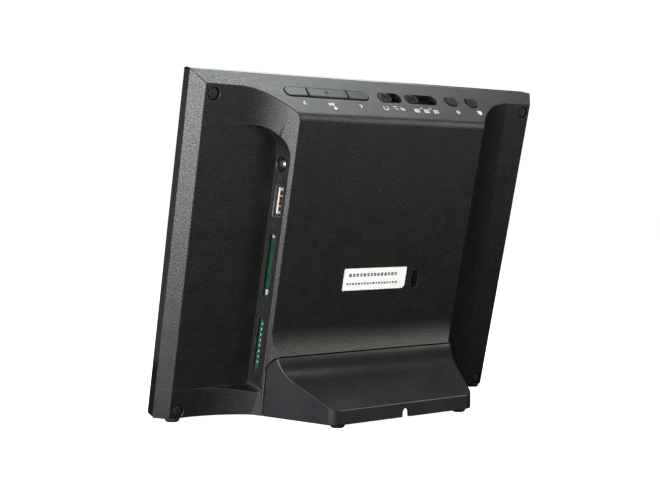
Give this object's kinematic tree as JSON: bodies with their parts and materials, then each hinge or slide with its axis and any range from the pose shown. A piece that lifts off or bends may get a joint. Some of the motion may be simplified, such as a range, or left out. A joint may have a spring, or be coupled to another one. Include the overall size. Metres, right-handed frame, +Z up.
{
  "type": "digital photo frame",
  "caption": "Tabletop digital picture frame leaning back on a fixed rear stand, with a side port bay and a key row on its sloped top edge.",
  "frame": {"origin": "centre of the footprint, on the standing surface", "axes": "+X across the front face, +Y toward the rear and the stand, +Z up"},
  "size_m": [0.185, 0.0628, 0.1484],
  "materials": {
    "gloss_black": "high-gloss moulded black",
    "lcd_dark": "dark switched-off panel glass, polarised",
    "tray_steel": "thin pressed zinc-coated sheet",
    "white_diffuser": "white light guide and reflector",
    "screw_steel": "zinc-plated screws",
    "textured_black": "fine spark-textured black moulding",
    "plug_black": "soft black plugs",
    "foot_rubber": "soft black rubber",
    "satin_grey": "smooth satin dark grey moulding",
    "board_green": "green solder resist",
    "chip_black": "moulded chip bodies",
    "cap_metal": "bright can capacitors",
    "solder_tin": "tinned lands",
    "jack_black": "glossy black insulator",
    "contact_nickel": "nickel-plated contact metal",
    "tongue_white": "white insulator",
    "contact_gold": "gold-plated contacts",
    "key_grey": "smooth satin dark keys",
    "plunger_black": "switch plungers",
    "flex_amber": "amber flexible circuit",
    "ribbon_white": "white flat ribbon",
    "label_white": "blank off-white label"
  },
  "bodies": {
    "shell": {"front_bezel": "gloss_black", "lcd_glass": "lcd_dark", "lcd_frame": "tray_steel", "backlight": "white_diffuser", "lcd_clips": "tray_steel", "lcd_screws": "screw_steel", "rear_cover": "textured_black", "case_screws": "screw_steel", "screw_plugs": "plug_black", "front_feet": "foot_rubber", "stand_base": "satin_grey", "stand_screws": "screw_steel", "base_plate": "textured_black", "plate_screws": "screw_steel", "rear_feet": "foot_rubber", "main_board": "board_green", "board_screws": "screw_steel", "board_chips": "chip_black", "board_caps": "cap_metal", "card_pads": "solder_tin", "dc_jack": "jack_black", "dc_pin": "contact_nickel", "usb_shell": "contact_nickel", "usb_tongue": "tongue_white", "usb_contacts": "contact_gold", "card_socket_a": "tray_steel", "card_socket_b": "tray_steel", "card_contacts": "contact_gold", "key_board": "board_green", "tact_switches": "chip_black", "slide_switches": "tray_steel", "slider_guides": "jack_black", "lcd_flex": "flex_amber", "key_ribbon": "ribbon_white", "lock_plate": "tray_steel", "label": "label_white"},
    "key_prev": {"key_prev": "key_grey", "plunger_prev": "plunger_black"},
    "key_menu": {"key_menu": "key_grey", "plunger_menu": "plunger_black"},
    "key_next": {"key_next": "key_grey", "plunger_next": "plunger_black"},
    "key_power": {"key_power": "key_grey", "plunger_power": "plunger_black"},
    "key_mode": {"key_mode": "key_grey", "plunger_mode": "plunger_black"},
    "slider_a": {"slider_a": "key_grey"},
    "slider_b": {"slider_b": "key_grey"}
  },
  "joints": [
    {"name": "key_prev_press", "type": "slide", "parent": "shell", "child": "key_prev", "axis": [0, -0.7615, -0.6481], "range_m": [0, 0.0006], "stiffness_N_per_m": 1200, "springref_m": -0.0006},
    {"name": "key_menu_press", "type": "slide", "parent": "shell", "child": "key_menu", "axis": [0, -0.7615, -0.6481], "range_m": [0, 0.0006], "stiffness_N_per_m": 1200, "springref_m": -0.0006},
    {"name": "key_next_press", "type": "slide", "parent": "shell", "child": "key_next", "axis": [0, -0.7615, -0.6481], "range_m": [0, 0.0006], "stiffness_N_per_m": 1200, "springref_m": -0.0006},
    {"name": "key_power_press", "type": "slide", "parent": "shell", "child": "key_power", "axis": [0, -0.7615, -0.6481], "range_m": [0, 0.0006], "stiffness_N_per_m": 1200, "springref_m": -0.0006},
    {"name": "key_mode_press", "type": "slide", "parent": "shell", "child": "key_mode", "axis": [0, -0.7615, -0.6481], "range_m": [0, 0.0006], "stiffness_N_per_m": 1200, "springref_m": -0.0006},
    {"name": "slider_a_slide", "type": "slide", "parent": "shell", "child": "slider_a", "axis": [-1, 0, 0], "range_m": [0, 0.005]},
    {"name": "slider_b_slide", "type": "slide", "parent": "shell", "child": "slider_b", "axis": [-1, 0, 0], "range_m": [0, 0.0104]}
  ]
}
